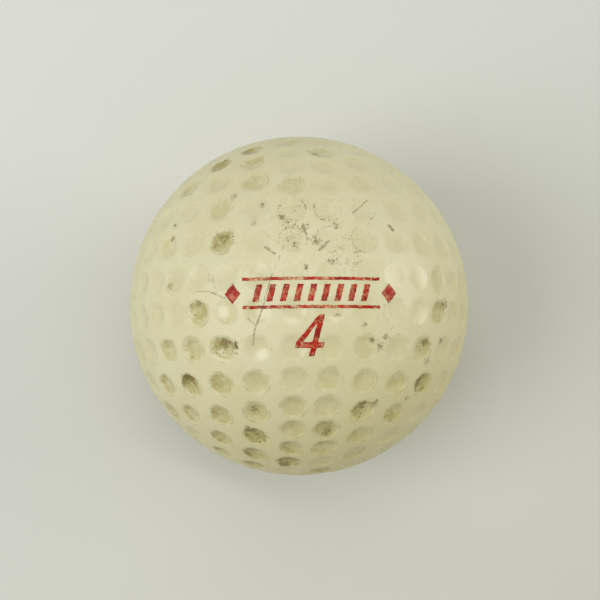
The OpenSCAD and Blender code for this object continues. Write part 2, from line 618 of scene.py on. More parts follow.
CRACK = (
    Scar((-3.0, 5.1), (-4.5, 1.3), 0.14, 0.30, 0.8),
    Scar((-4.5, 1.3), (-5.4, -1.6), 0.16, 0.30, 0.9),
    Scar((-5.4, -1.6), (-6.2, -4.0), 0.17, 0.26, 0.9),
    Scar((-6.2, -4.0), (-6.4, -5.6), 0.16, 0.22, 0.8),
    Scar((-6.9, -2.7), (-6.0, -3.6), 0.14, 0.22, 0.7),
)
SCARS = CRACK + (
    Scar((-12.5, 0.5), (-11.0, 0.3), 0.14, 0.3, 0.6),
    Scar((-11.0, 0.3), (-9.4, -0.4), 0.17, 0.3, 0.8),
    Scar((4.8, 9.0), (6.6, 10.7), 0.15, 0.2, 0.8),
    Scar((8.9, 7.8), (9.4, 7.3), 0.34, 0.35, 1.0),
    Scar((-8.3, -5.2), (-8.1, -5.9), 0.28, 0.2, 1.3),
    Scar((-8.6, -6.4), (-8.1, -6.5), 0.2, 0.4, 0.8),
    Scar((-5.0, 5.0), (-4.0, 4.3), 0.22, 0.4, 0.9),
    Scar((2.1, 5.8), (0.8, 4.7), 0.26, 0.6, 0.8),
)
# Dimples with packed dirt: place of the dimple in millimetres, and how dirty it is.
SOILED_DIMPLES = (
    (-9.7, 6.0, 0.9), (-12.4, -1.9, 0.8), (-15.8, -6.0, 0.5), (-13.0, -6.0, 0.5), (-9.7, -6.0, 0.75),
    (-13.4, -9.9, 0.85), (-16.1, -9.9, 0.55), (-9.9, -9.9, 0.65), (-15.8, -13.0, 0.6), (-13.4, -13.4, 0.45),
    (-9.9, -13.4, 0.6), (-6.0, -13.0, 0.4), (-9.9, -16.1, 0.65), (-6.0, -15.8, 0.8), (-6.0, -18.1, 0.7),
    (-9.7, -18.1, 0.5), (-1.9, -17.2, 0.6), (-2.0, -19.1, 1.0), (-5.9, -19.6, 0.6), (1.9, -15.0, 0.6),
    (1.9, -17.2, 0.5), (6.0, -18.1, 0.4), (6.0, -13.0, 0.65), (9.9, -13.4, 0.6), (6.0, -15.8, 0.4),
    (13.4, -9.9, 0.9), (9.9, -9.9, 0.45), (13.0, -6.0, 0.6), (15.0, -1.9, 0.7), (15.0, 1.9, 0.35),
    (-9.9, 16.1, 1.0), (-6.0, 18.1, 0.8), (-6.0, 15.8, 0.5), (-6.0, 13.0, 0.4), (-1.9, 12.4, 0.35),
    (-13.4, 13.4, 0.5), (-2.0, 19.1, 0.5), (1.9, 17.2, 0.5), (-9.9, 9.9, 0.4), (2.0, -20.4, 0.6),
    (-6.0, -9.7, 0.35), (-1.9, -9.7, 0.25), (1.9, -9.7, 0.3), (6.0, -9.7, 0.35), (-1.9, -12.4, 0.35),
    (1.9, -12.4, 0.3), (-1.9, -15.0, 0.4), (6.0, -6.0, 0.3),
)
# Clumps of dirt: place in millimetres and reach.
CLUMPS = (
    (-8.3, 11.4, 0.5), (-5.2, 10.1, 0.5), (-3.2, 8.5, 0.6), (-6.2, 7.9, 0.4), (-2.4, 6.0, 0.4),
    (-1.8, 5.2, 0.45), (-15.1, 8.5, 0.5), (-15.5, 6.9, 0.45), (-15.7, 1.3, 0.5), (-0.7, 7.3, 0.5),
    (2.8, -2.4, 0.35), (5.8, -3.5, 0.35), (6.6, -5.1, 0.35), (8.2, -4.8, 0.45), (7.7, -5.8, 0.5),
    (13.6, -7.5, 0.5), (13.2, -5.3, 0.45), (15.5, -5.1, 0.6), (16.0, -0.7, 0.6), (11.3, -11.6, 0.4),
    (7.5, -12.1, 0.5), (6.0, -12.3, 0.5), (12.6, -9.9, 0.6), (2.0, -15.6, 0.6), (2.9, 7.4, 0.4),
    (0.5, 5.7, 0.6), (-0.6, 2.7, 0.4), (2.2, 3.3, 0.5), (1.3, 17.0, 0.5), (-8.4, -5.5, 0.6),
    (-9.4, -5.4, 0.6), (-13.5, -9.0, 0.6), (-6.2, -12.9, 0.45), (-6.9, -14.8, 0.6), (-2.6, -19.5, 0.6),
)


def scar_lines(graph: Graph, effects: SharedEffects, place: Socket, scars: tuple[Scar, ...]) -> Socket:
    """The greatest of several scars' masks, each measured over the ball's full sphere.

    Args:
        graph: the finish's graph.
        effects: the shared node groups.
        place: the place on the surface, in millimetres.
        scars: the scars to draw.

    Returns:
        The joint mask.
    """
    over = graph.on_sphere(place, BallSizes().ball / MM)
    lines = scars[0].mask(graph, effects, over)
    for scar in scars[1:]:
        lines = graph.most(lines, scar.mask(graph, effects, over))
    return lines


class Finish:
    """What all finishes share: a material, its graph and its shader."""

    name = "finish"

    def build(self, effects: SharedEffects) -> bpy.types.Material:
        """Makes the material and lets the finish dress its shader.

        Args:
            effects: the shared node groups.

        Returns:
            The finished material.
        """
        material = bpy.data.materials.new(self.name)
        material.use_nodes = True
        material.node_tree.nodes.clear()
        graph = Graph(material.node_tree)
        shader = graph.add("ShaderNodeBsdfPrincipled")
        end = graph.add("ShaderNodeOutputMaterial")
        graph.feed(end.inputs["Surface"], shader.outputs[0])
        self.dress(graph, shader, effects)
        return material

    def plain(self, shader: bpy.types.Node, **values: object) -> None:
        """Sets sockets that are the same all over the surface, named with underscores."""
        for label, value in values.items():
            shader.inputs[label.replace("_", " ")].default_value = value

    def dress(self, graph: Graph, shader: bpy.types.Node, effects: SharedEffects) -> None:
        """Feeds the shader's sockets; each finish has its own."""
        raise NotImplementedError


class CoverReading:
    """What the cover's mesh says of a place: its dimple, its dirt, its wear and its painted shade."""

    def __init__(self, graph: Graph) -> None:
        """Adds the nodes that read the place and the mesh's own numbers."""
        self.place = graph.place_mm()
        self.hollow = graph.value_of("hollow")
        self.soil = graph.value_of("soil")
        # Which wall of its dimple a place is on, where crusted dirt gathers with painted shade.
        self.side = graph.value_of("side")
        self.edge = graph.value_of("edge")
        self.aged = graph.value_of("aged")
        self.scuffed = graph.value_of("scuffed")
        self.clump = graph.value_of("clump")


@dataclass(frozen=True)
class PaintedCover(Finish):
    """Aged ivory paint under worn lacquer, with olive dirt in the dimples, and painted shade in the dimples
    and towards the lower right.
    """

    name: str = "aged_ivory_paint"
    paint: Colour = srgb(218, 213, 174)
    # Darker yellow paint, for age and for the painted shade on the lower right and the rim.
    yellowed: Colour = srgb(206, 195, 140)
    # Dirt colours for the hollows; the film also carries the painted shade of the lower side, and the dirt
    # and dark core the painted shade of each dimple's upper-left wall.
    film: Colour = srgb(176, 162, 84)
    dirt: Colour = srgb(146, 130, 38)
    deep_dirt: Colour = srgb(76, 66, 0)
    scuff: Colour = srgb(104, 84, 0)
    chalk: Colour = srgb(226, 222, 192)
    film_share: float = 0.62
    clean_film: float = 0.12
    crust_share: float = 0.36
    core_share: float = 0.5
    chalk_share: float = 0.4
    mark_share: float = 0.7
    hair_share: float = 0.32
    crumb_scales: tuple[float, float] = (3.0, 5.6)
    hair_angles: tuple[float, float] = (0.9, 2.3)
    roughness: float = 0.2
    worn_roughness: float = 0.55
    relief_depth: float = 0.05 * MM
    scars: tuple[Scar, ...] = SCARS

    def centred(self, g: Graph, at: CoverReading, scale: float, detail: float, rough: float) -> Socket:
        """Noise about 0 instead of about a half."""
        return g.math("SUBTRACT", g.noise(at.place, scale, detail, rough), 0.5)

    def aged_tone(self, g: Graph, at: CoverReading, effects: SharedEffects) -> Socket:
        """The paint's colour, yellower in blotches, and yellower and darker towards the lower right and the
        rim: partly age, partly painted shade.
        """
        tone = g.use(effects.tone(), place=at.place, scale=0.16)
        return g.mix(g.plus(g.times(tone, 0.25), at.aged), self.paint, self.yellowed)

    def soiled(self, g: Graph, at: CoverReading, colour: Socket) -> tuple[Socket, Socket, Socket]:
        """Lays dirt and painted shade in the hollows: a film, crusted dirt and a dark core leaning to the
        upper-left wall as painted shade, and a rim line.

        Args:
            g: the finish's graph.
            at: what the mesh says of the place.
            colour: the clean paint.

        Returns:
            The soiled and shaded colour, the level of dirt and painted shade, and the mask of the crusted
            dirt with its painted shade.
        """
        uneven = g.grade(g.noise(at.place, 0.8, 3.0, 0.6), 0.35, 0.62, 0.45, 1.0)
        ragged = g.plus(at.hollow, g.times(self.centred(g, at, 1.5, 4.0, 0.7), 0.9))
        lying = g.times(g.grade(ragged, 0.06, 0.5), g.grade(at.hollow, 0.0, 0.12))
        # The film grows with each dimple's dirt and with the painted shade of the lower side.
        film = g.times(lying, g.plus(g.times(at.soil, self.film_share), self.clean_film))
        colour = g.mix(g.times(film, uneven), colour, self.film)
        patchy = g.times(self.centred(g, at, 1.2, 5.0, 0.72), 1.8)
        # Crusted dirt and the dark core lean to each dimple's upper-left wall, the wall turned from the
        # light: dirt and painted shade.
        level = g.plus(g.plus(patchy, g.times(at.side, 0.34)), g.times(at.soil, 0.56))
        crust_and_shade = g.times(g.grade(level, 0.34, 0.62), lying)
        crust_and_shade = g.times(crust_and_shade, g.grade(at.soil, 0.15, 0.6))
        colour = g.mix(g.times(crust_and_shade, self.crust_share), colour, self.dirt)
        core = g.times(g.grade(level, 0.66, 0.84), g.times(at.soil, g.grade(at.hollow, 0.04, 0.3)))
        colour = g.mix(g.times(core, self.core_share), colour, self.deep_dirt)
        # A faint dark line round each rim, painted shade where the wall drops away, stronger in dirty
        # dimples.
        ring = g.times(at.edge, g.grade(g.noise(at.place, 0.9, 3.0), 0.4, 0.64))
        shaded = g.plus(0.16, g.times(g.grade(at.soil, 0.1, 0.5), 0.3))
        return g.mix(g.times(ring, shaded), colour, self.dirt), level, crust_and_shade

    def crumb_favour(self, g: Graph, at: CoverReading, level: Socket) -> Socket:
        """How readily crumbs show: in scuffed regions, clumps, packed dimples and along rims."""
        spread = g.grade(g.noise(at.place, 0.35, 2.0), 0.45, 0.65)
        favour = g.times(at.scuffed, g.plus(g.times(spread, 0.13), 0.13))
        favour = g.plus(favour, g.times(spread, 0.15))
        favour = g.plus(favour, g.times(at.clump, 0.35))
        favour = g.most(favour, g.times(at.clump, 0.8))
        packed = g.times(g.times(at.soil, g.grade(at.hollow, 0.0, 0.3)), g.grade(level, 0.0, 0.5))
        favour = g.plus(favour, g.times(packed, 0.45))
        return g.plus(favour, g.times(at.edge, g.plus(g.times(at.scuffed, 0.22), 0.08)))

    def dress(self, graph: Graph, shader: bpy.types.Node, effects: SharedEffects) -> None:
        """Paint tone with painted shade, then dirt and painted shade in the hollows, then specks and scars,
        then gloss and relief.
        """
        g, at = graph, CoverReading(graph)
        colour, level, crust_and_shade = self.soiled(g, at, self.aged_tone(g, at, effects))

        chalky = g.times(g.grade(g.noise(at.place, 1.1, 5.0, 0.7), 0.5, 0.72), g.plus(at.scuffed, 0.25))
        colour = g.mix(g.times(chalky, self.chalk_share), colour, self.chalk)
        favour = self.crumb_favour(g, at, level)
        crumbs, (large, small) = effects.crumbs(), self.crumb_scales
        coarse = g.use(crumbs, place=at.place, scale=large, favour=favour)
        fine = g.use(crumbs, place=at.place, scale=small, favour=g.plus(favour, 0.05))
        marks = g.most(coarse, g.times(fine, 0.8))
        colour = g.mix(g.times(marks, self.mark_share), colour, self.scuff)
        hairs = g.most(*(
            g.use(effects.hairlines(), place=at.place, angle=angle, favour=at.scuffed)
            for angle in self.hair_angles
        ))
        colour = g.mix(g.times(hairs, self.hair_share), colour, self.scuff)
        lines = scar_lines(g, effects, at.place, self.scars)
        colour = g.mix(g.math("MINIMUM", g.times(lines, 0.7), 1.0), colour, self.scuff)
        g.feed(shader.inputs["Base Color"], colour)

        worn_land = g.math("SUBTRACT", 0.75, g.times(g.grade(at.hollow, 0.0, 0.45), 0.6))
        wear = g.most(g.most(g.times(at.scuffed, 0.8), g.most(crust_and_shade, marks)), worn_land)
        g.feed(shader.inputs["Roughness"], g.grade(wear, 0.0, 1.0, self.roughness, self.worn_roughness))
        relief = g.use(effects.relief(), place=at.place, scale=1.1, grain=0.18)
        cut = g.most(g.most(lines, g.times(hairs, 0.6)), g.times(marks, 0.4))
        height = g.math("SUBTRACT", g.times(relief, 0.5), cut)
        g.feed(shader.inputs["Normal"], g.bump(height, self.relief_depth, 0.6))
        self.plain(
            shader, Coat_Weight=0.14, Coat_Roughness=0.3, IOR=1.48, Subsurface_Weight=0.12,
            Subsurface_Scale=0.8 * MM, Subsurface_Radius=(1.0, 0.8, 0.5),
        )


@dataclass(frozen=True)
class RedInk(Finish):
    """Stamped red ink, thin in the hollows and worn off in specks."""

    name: str = "stamped_red_ink"
    ink: Colour = srgb(190, 30, 0)
    dense: Colour = srgb(132, 6, 0)
    bare: Colour = srgb(222, 196, 140)
    crack: Colour = srgb(70, 60, 44)
    roughness: float = 0.42

    def dress(self, graph: Graph, shader: bpy.types.Node, effects: SharedEffects) -> None:
        """Ink tone, then worn specks that show the paint, then the crack that crosses it."""
        g = graph
        place = g.place_mm()
        hollow = g.value_of("hollow")
        tone = g.use(effects.tone(), place=place, scale=0.8)
        colour = g.mix(g.times(tone, 0.9), self.ink, self.dense)
        thin = g.grade(g.noise(place, 1.7, 4.0, 0.75), 0.44, 0.68)
        faded = g.times(thin, g.plus(g.times(g.grade(hollow, 0.0, 0.4), 0.5), 0.4))
        colour = g.mix(faded, colour, self.bare)
        pinholes = g.use(effects.crumbs(), place=place, scale=4.5, favour=0.2)
        colour = g.mix(g.times(pinholes, 0.75), colour, self.bare)
        lines = scar_lines(g, effects, place, CRACK)
        colour = g.mix(lines, colour, self.crack)
        g.feed(shader.inputs["Base Color"], colour)
        relief = g.use(effects.relief(), place=place, scale=2.2, grain=0.3)
        g.feed(shader.inputs["Normal"], g.bump(relief, 0.02 * MM, 0.6))
        self.plain(shader, Roughness=self.roughness, Specular_IOR_Level=0.25)


@dataclass(frozen=True)
class Rubber(Finish):
    """Rubber with slow tone, dusting powder and fine relief."""

    name: str = "rubber"
    body: Colour = srgb(60, 56, 52)
    shade: Colour = srgb(40, 36, 33)
    powder: Colour = srgb(150, 142, 130)
    powder_share: float = 0.25
    roughness: float = 0.62
    tone_scale: float = 0.3
    see_through: float = 0.0

    def dress(self, graph: Graph, shader: bpy.types.Node, effects: SharedEffects) -> None:
        """Two tones, powder in specks and blotches, and a matt, slightly uneven skin."""
        g = graph
        place = g.place_mm()
        tone = g.use(effects.tone(), place=place, scale=self.tone_scale)
        colour = g.mix(tone, self.body, self.shade)
        dust = g.use(effects.crumbs(), place=place, scale=2.4, favour=0.35)
        cloud = g.grade(g.noise(place, 0.6, 4.0, 0.6), 0.45, 0.75)
        share = g.times(g.most(cloud, g.times(dust, 0.6)), self.powder_share)
        g.feed(shader.inputs["Base Color"], g.mix(share, colour, self.powder))
        dusty = min(self.roughness + 0.2, 1.0)
        g.feed(shader.inputs["Roughness"], g.grade(cloud, 0.0, 1.0, self.roughness, dusty))
        relief = g.use(effects.relief(), place=place, scale=1.6, grain=0.35)
        g.feed(shader.inputs["Normal"], g.bump(relief, 0.06 * MM, 0.5))
        self.plain(shader, Subsurface_Weight=self.see_through, Subsurface_Scale=1.0 * MM)


THREAD_RUBBER = Rubber(
    "wound_rubber_thread", body=srgb(222, 196, 140), shade=srgb(196, 160, 98), powder=srgb(236, 228, 206),
    powder_share=0.2, roughness=0.46, tone_scale=0.35, see_through=0.25,
)
TAPE_RUBBER = Rubber(
    "wound_rubber_tape", body=srgb(204, 168, 108), shade=srgb(170, 128, 72), powder=srgb(232, 220, 196),
    roughness=0.5, see_through=0.2,
)
SAC_RUBBER = Rubber(
    "moulded_black_rubber", body=srgb(52, 48, 45), shade=srgb(34, 31, 29), powder=srgb(148, 140, 128),
    powder_share=0.35, roughness=0.66, tone_scale=0.25,
)
PELLET_RUBBER = Rubber(
    "soft_pellet_rubber", body=srgb(120, 58, 40), shade=srgb(92, 42, 30), powder=srgb(160, 120, 100),
    powder_share=0.15, roughness=0.44, tone_scale=0.6,
)


@dataclass(frozen=True)
class CentrePaste(Finish):
    """The thick, wet paste of the liquid centre."""

    name: str = "amber_centre_paste"
    thin: Colour = srgb(206, 158, 84)
    thick: Colour = srgb(158, 106, 48)

    def dress(self, graph: Graph, shader: bpy.types.Node, effects: SharedEffects) -> None:
        """Streaky amber with a wet coat."""
        g = graph
        place = g.place_mm()
        tone = g.use(effects.tone(), place=place, scale=0.22)
        streak = g.noise(g.vector("MULTIPLY", place, (0.5, 0.5, 2.0)), 0.6, 4.0)
        g.feed(shader.inputs["Base Color"], g.mix(g.times(tone, streak), self.thin, self.thick))
        relief = g.use(effects.relief(), place=place, scale=0.5, grain=0.05)
        g.feed(shader.inputs["Normal"], g.bump(relief, 0.1 * MM, 0.4))
        self.plain(
            shader, Roughness=0.18, Coat_Weight=0.6, Coat_Roughness=0.08, Subsurface_Weight=0.3,
            Subsurface_Scale=2.0 * MM,
        )


@dataclass(frozen=True)
class StudioPaper(Finish):
    """The pale sheet that the ball stands on."""

    name: str = "pale_paper"
    sheet: Colour = srgb(217, 218, 209)
    # The sheet with painted shade, towards the lower right where the light falls off.
    dim_sheet: Colour = srgb(200, 200, 187)

    def dress(self, graph: Graph, shader: bpy.types.Node, effects: SharedEffects) -> None:
        """A plain pale sheet with painted shade that grows a little dimmer towards the lower right, where
        the light falls off.
        """
        along = graph.vector("DOT_PRODUCT", graph.place_mm(), (0.6, -0.8, 0.0))
        painted_shade_share = graph.grade(along, -70.0, 90.0)
        graph.feed(shader.inputs["Base Color"], graph.mix(painted_shade_share, self.sheet, self.dim_sheet))
        self.plain(shader, Roughness=0.9)


# Sub-assemblies


@dataclass
class CoverHalf:
    """One dimpled half of the cover, a closed cup with a flat rim on the mould seam."""

    pole: Pole
    surface: CoverSurface
    outer_cells: int = 300
    inner_cells: int = 60
    sharp_deg: float = 55.0
    dimple_spot_mm: float = 0.9
    # Dirt and painted shade added towards the lower side in view.
    low_side_soil: float = 0.38
    rim_line: float = 0.11 * MM
    # The way to the lower side in view, where dirt and painted shade are added.
    soil_side: tuple[float, float, float] = (-0.25, -0.85, -0.35)
    scuff_patches: tuple[Patch, ...] = (
        Patch(1.0, 5.0, 5.0), Patch(-2.0, 9.0, 5.0), Patch(6.0, 7.0, 4.5), Patch(-10.5, 3.0, 4.0),
        Patch(9.0, -4.0, 3.5),
    )

    def spots(self, places_mm: Array, table: tuple, spread: float) -> Array:
        """The greatest share that any of a table's spots has at each point.

        The lower half takes them mirrored across a diagonal, so that it doesn't repeat the upper one.

        Args:
            places_mm: points on the ball, one a row.
            table: rows of x, y and a third number: the reach, or the amount where spread is given.
            spread: the reach of every spot, or 0 where the third number is the reach.

        Returns:
            The share at each point, 0 to 1.
        """
        radius, sign = self.surface.sizes.ball / MM, float(self.pole.turn[2])
        best = np.zeros(len(places_mm))
        for x, y, third in table:
            reach, amount = (spread, third) if spread else (third, 1.0)
            x, y = (x, y) if self.pole is Pole.UPPER else (-y, -x)
            best = np.maximum(best, amount * Patch(x, y, 1.3 * reach, sign).share(places_mm, radius))
        return best

    def soil(self, numbers: Array, centres: Array) -> Array:
        """How dirty each dimple is, with painted shade added, 0 to 1.

        The named dirty dimples, or a seeded random number for each dimple, cubed so that few are
        dirty, and raised towards the lower side in view: partly dirt, partly painted shade on the side
        turned from the light.

        Args:
            numbers: the dimple's number at each point.
            centres: the way to the dimple's centre at each point.

        Returns:
            The dirt and painted shade at each point.
        """
        chance = np.random.default_rng(SEED).random(self.surface.layout.total)[numbers]
        # Towards the lower side in view: partly dirt, partly painted shade where the ball turns from the
        # light.
        low_side = np.clip(centres @ unit(np.array(self.soil_side)), 0.0, 1.0)
        unseen = 0.3 + 0.7 * smooth_step(0.25, 0.0, np.abs(centres[:, 2]))
        named = self.spots(centres * self.surface.sizes.ball / MM, SOILED_DIMPLES, self.dimple_spot_mm)
        by_chance = 0.6 * chance**3 * unseen
        return np.clip(np.maximum(named, by_chance) + self.low_side_soil * low_side, 0.0, 1.0)

    def fields(self, ways: Array) -> dict[str, Array]:
        """Numbers for the paint at each point: place in the dimple, dirt, age, painted shade and scuffs.

        Args:
            ways: unit directions of the points.

        Returns:
            Named arrays, one number for each point.
        """
        shape = self.surface
        distance, outward, numbers = shape.dimple_offset(ways)
        centres, _ = shape.layout.nearest(ways)
        inside = np.clip(distance / shape.rim_radius, 0.0, 1.4)
        hollow = np.clip(1.0 - inside**2, 0.0, 1.0)
        # Which wall of its dimple a place is on, leaning to the upper left, the wall turned from the light:
        # crusted dirt and the core gather there as painted shade.
        lean = np.random.default_rng(SEED + 1).normal(0.0, 0.7, shape.layout.total)[numbers]
        up_left = math.radians(125.0) + lean
        toward = np.stack([np.cos(up_left), np.sin(up_left), np.zeros(len(ways))], axis=1)
        side = np.sum(outward * toward, axis=1) * np.clip(inside, 0.0, 1.0)
        edge = np.exp(-(((distance - shape.rim_radius) / self.rim_line) ** 2))
        places = ways * shape.sizes.ball / MM
        scuffed = sum(p.share(places, shape.sizes.ball / MM) for p in self.scuff_patches)
        # Yellower and darker towards the lower right and towards the equator, the rim in view: partly age,
        # partly painted shade.
        aged = 0.62 * smooth_step(-0.2, 1.0, ways @ unit(np.array([0.45, -0.85, -0.1])))
        return {
            "hollow": hollow, "soil": self.soil(numbers, centres), "side": side, "edge": edge,
            "scuffed": np.clip(scuffed, 0.0, 1.0), "aged": aged + 0.15 * (1.0 - np.abs(ways[:, 2])),
            "clump": self.spots(places, CLUMPS, 0.0),
        }

    def build(self) -> bpy.types.Object:
        """Joins the dimpled outside to the smooth inside with a flat rim.

        Returns:
            The closed mesh of the half.
        """
        core = self.surface.sizes.core
        outer_ways = dome_ways(self.outer_cells) * self.pole.turn
        inner_ways = dome_ways(self.inner_cells) * self.pole.turn
        outer = outer_ways * self.surface.radii(outer_ways)[:, None]
        inner = inner_ways * core
        shift = len(outer)
        out_loop, in_loop = grid_border(self.outer_cells), grid_border(self.inner_cells) + shift
        outer[out_loop, 2] = 0.0
        inner[in_loop - shift, 2] = 0.0
        ratio = self.outer_cells // self.inner_cells
        spans = (np.arange(len(in_loop))[:, None] * ratio + np.arange(ratio + 1)) % len(out_loop)
        inner_pair = np.stack([np.roll(in_loop, -1), in_loop], axis=1)
        rim = np.concatenate([out_loop[spans], inner_pair], axis=1)[:, ::-1]
        outer_faces = grid_quads(self.outer_cells, self.outer_cells)
        inner_faces = grid_quads(self.inner_cells, self.inner_cells)[:, ::-1] + shift
        values = self.fields(np.concatenate([outer_ways, inner_ways]))
        values["hollow"][shift:] = 0.0
        points = np.concatenate([outer, inner])
        name = f"cover_{self.pole.word}_shell"
        piece = make_piece(name, points, [outer_faces, inner_faces, rim], values)
        piece.data.set_sharp_from_angle(angle=math.radians(self.sharp_deg))
        return piece


class Figure(Enum):
    """The two figures that are stamped at each pole."""

    NUMBER = "number"
    BAND = "band"


@dataclass(frozen=True)
class StampSheets:
    """The flat figures as four-cornered sheets that share edges, in millimetres."""

    digit_h: float = 4.5
    digit_w: float = 3.1
    stroke_w: float = 0.62
    digit_drop: float = 4.6
    band_l: float = 18.4
    band_h: float = 3.4
    rule_w: float = 0.34
    bar_count: int = 9
    bar_w: float = 0.66
    lean_deg: float = 14.0

    def leaned(self, corners: list[tuple[float, float]], lift: float = 0.0) -> Array:
        """Corners sheared along X in proportion to their height, then lifted along Y."""
        points = np.array(corners, dtype=float)
        points[:, 0] += points[:, 1] * math.tan(math.radians(self.lean_deg))
        points[:, 1] += lift
        return points

    def box(self, left: float, foot: float, right: float, top: float) -> list[tuple[float, float]]:
        """Corners of an upright rectangle, counter-clockwise."""
        return [(left, foot), (right, foot), (right, top), (left, top)]

    def number(self) -> list[Array]:
        """A plain four: sloping stroke, cross stroke in two parts, and an upright in three."""
        half, s = self.digit_h / 2, self.stroke_w / 2
        post = self.digit_w * 0.16
        cross = -half + self.digit_h * 0.27
        left, right = -self.digit_w / 2, self.digit_w / 2
        slot_foot = left + self.stroke_w * 1.15
        slot_top = half - self.stroke_w * 1.5
        low, high = cross - s, cross + s
        parts = [
            self.box(post - s, -half, post + s, low),
            self.box(post - s, low, post + s, high),
            self.box(post - s, high, post + s, slot_top),
            self.box(post - s, slot_top, post + s, half),
            self.box(post + s, low, right, high),
            self.box(slot_foot, low, post - s, high),
            self.box(left, low, slot_foot, high),
            [(left, high), (slot_foot, high), (post - s, slot_top), (post - s, half)],
        ]
        return [self.leaned(part, -self.digit_drop) for part in parts]

    def band(self) -> list[Array]:
        """Two rules, a row of slanted bars between them, and a lozenge at each end."""
        half, end_w, gap = self.band_h / 2, self.band_h / 2, self.rule_w * 1.3
        bars_l = self.band_l - 2 * end_w - 4 * gap
        pitch = bars_l / self.bar_count
        long, thin = self.band_l / 2 - end_w, self.rule_w
        rule = np.array(self.box(-long, 0.0, long, thin))
        sheets = [rule + (0.0, y) for y in (-half, half - thin)]
        tall = half - self.rule_w - gap
        for n in range(self.bar_count):
            x = -bars_l / 2 + (n + 0.5) * pitch
            w = self.bar_w / 2
            sheets.append(self.leaned(self.box(x - w, -tall, x + w, tall)))
        for sign in (-1, 1):
            x, wide, high = sign * (self.band_l / 2 - end_w / 2 + gap / 2), end_w / 2, self.band_h / 3
            sheets.append(np.array([(x - wide, 0.0), (x, -high), (x + wide, 0.0), (x, high)]))
        return sheets

    def of(self, figure: Figure) -> list[Array]:
        """The sheets of one figure."""
        return self.number() if figure is Figure.NUMBER else self.band()


@dataclass
class StampedPrint:
    """One figure of ink that lies on the land and down in the dimples."""

    figure: Figure
    pole: Pole
    surface: CoverSurface
    sheets: StampSheets = field(default_factory=StampSheets)
    cell_mm: float = 0.11
    proud: float = 0.018 * MM
    thickness: float = 0.045 * MM
    ragged_mm: float = 0.028

    def flat_grid(self, corners: Array) -> tuple[Array, Array]:
        """Fills one sheet with points: the corners blended in proportion along both its sides.

        Args:
            corners: the sheet's four corners, counter-clockwise.

        Returns:
            The points and the faces.
        """
        a, b, c, d = corners
        across = max(np.linalg.norm(b - a), np.linalg.norm(c - d))
        along = max(np.linalg.norm(d - a), np.linalg.norm(c - b))
        n, m = (max(3, int(math.ceil(side / self.cell_mm))) for side in (across, along))
        u, v = np.meshgrid(np.linspace(0, 1, n + 1), np.linspace(0, 1, m + 1), indexing="ij")
        u, v = u.reshape(-1, 1), v.reshape(-1, 1)
        points = (1 - u) * (1 - v) * a + u * (1 - v) * b + u * v * c + (1 - u) * v * d
        return points, grid_quads(n, m)

    def ragged(self, points: Array) -> Array:
        """Moves flat points a little with crossed sine waves, for a hand-inked edge."""
        x, y = points[:, 0], points[:, 1]
        shift_x = np.sin(5.1 * y + 1.3 * x) + np.sin(11.0 * y - 4.0 * x)
        shift_y = np.sin(4.3 * x + 0.7) + np.sin(9.0 * x + 3.0 * y)
        return points + self.ragged_mm * 0.5 * np.stack([shift_x, shift_y], axis=1)

    def lifted(self, flat: Array) -> Array:
        """Carries flat points straight up on to the dimpled surface.

        The height over a flat point is sqrt(r^2 - x^2 - y^2), where r depends on the direction, so
        it is found by repeating the step.

        Args:
            flat: points in millimetres.

        Returns:
            Points on the surface of the pole's half, in metres.
        """
        xy = flat * MM
        radius = np.full(len(xy), self.surface.sizes.ball)
        for _ in range(4):
            z = np.sqrt(radius**2 - np.sum(xy**2, axis=1))
            ways = unit(np.column_stack([xy, z])) * self.pole.turn
            radius = self.surface.radii(ways)
        return ways * (radius + self.proud)[:, None]

    def build(self) -> bpy.types.Object:
        """Lays the sheets on the surface and gives them the ink's thickness inwards.

        Returns:
            The closed mesh of the print.
        """
        points, faces, count = [], [], 0
        for corners in self.sheets.of(self.figure):
            flat, quads = self.flat_grid(corners)
            points.append(flat)
            faces.append(quads + count)
            count += len(flat)
        surface = self.lifted(self.ragged(np.concatenate(points)))
        welded, quads = weld(surface, np.concatenate(faces))
        ways = unit(welded)
        distance, _, _ = self.surface.dimple_offset(ways)
        hollow = np.clip(1.0 - (distance / self.surface.rim_radius) ** 2, 0.0, 1.0)
        name = f"{self.figure.value}_{self.pole.word}_ink"
        piece = make_piece(name, welded, [quads], {"hollow": hollow})
        coat = piece.modifiers.new("ink thickness", "SOLIDIFY")
        coat.thickness = self.thickness
        coat.offset = -1.0
        return piece


@dataclass
class Winding:
    """A layer of rubber strand wound round and round on great circles, as a closed shell."""

    name: str
    inner: float
    outer: float
    strand: float
    turns: int
    relief: float
    seed: int
    cells: int = 190
    inner_cells: int = 40

    def heights(self, ways: Array) -> Array:
        """Height of the wound surface: each turn lies on those before it.

        A turn is a band about a great circle.  Where a direction is within half a strand of the
        circle's plane, the turn sets the height: its place in the order, plus a rounded back.

        Args:
            ways: unit directions, one a row.

        Returns:
            Radii, one for each row.
        """
        rng = np.random.default_rng(self.seed)
        poles = unit(rng.normal(size=(self.turns, 3)))
        level = np.zeros(len(ways))
        for order, pole in enumerate(poles):
            gap = np.abs(ways @ pole) * self.outer / (self.strand / 2)
            height = 0.7 * order / self.turns + 0.3 * np.sqrt(np.clip(1.0 - gap**2, 0.0, 1.0))
            level = np.where(gap < 1.0, height, level)
        return self.outer - self.relief * (1.0 - level)

    def build(self) -> bpy.types.Object:
        """Closes the wound outside with a smooth inside.

        Returns:
            The mesh of the layer, whose inner skin faces the centre.
        """
        blocks, faces, count = [], [], 0
        for pole in Pole:
            for cells, inside in ((self.cells, False), (self.inner_cells, True)):
                ways = dome_ways(cells) * pole.turn
                ways[grid_border(cells), 2] = 0.0
                radii = np.full(len(ways), self.inner) if inside else self.heights(ways)
                blocks.append(unit(ways) * radii[:, None])
                quads = grid_quads(cells, cells)
                faces.append((quads[:, ::-1] if inside else quads) + count)
                count += len(ways)
        points, welded = weld(np.concatenate(blocks), np.concatenate(faces))
        return make_piece(self.name, points, [welded])


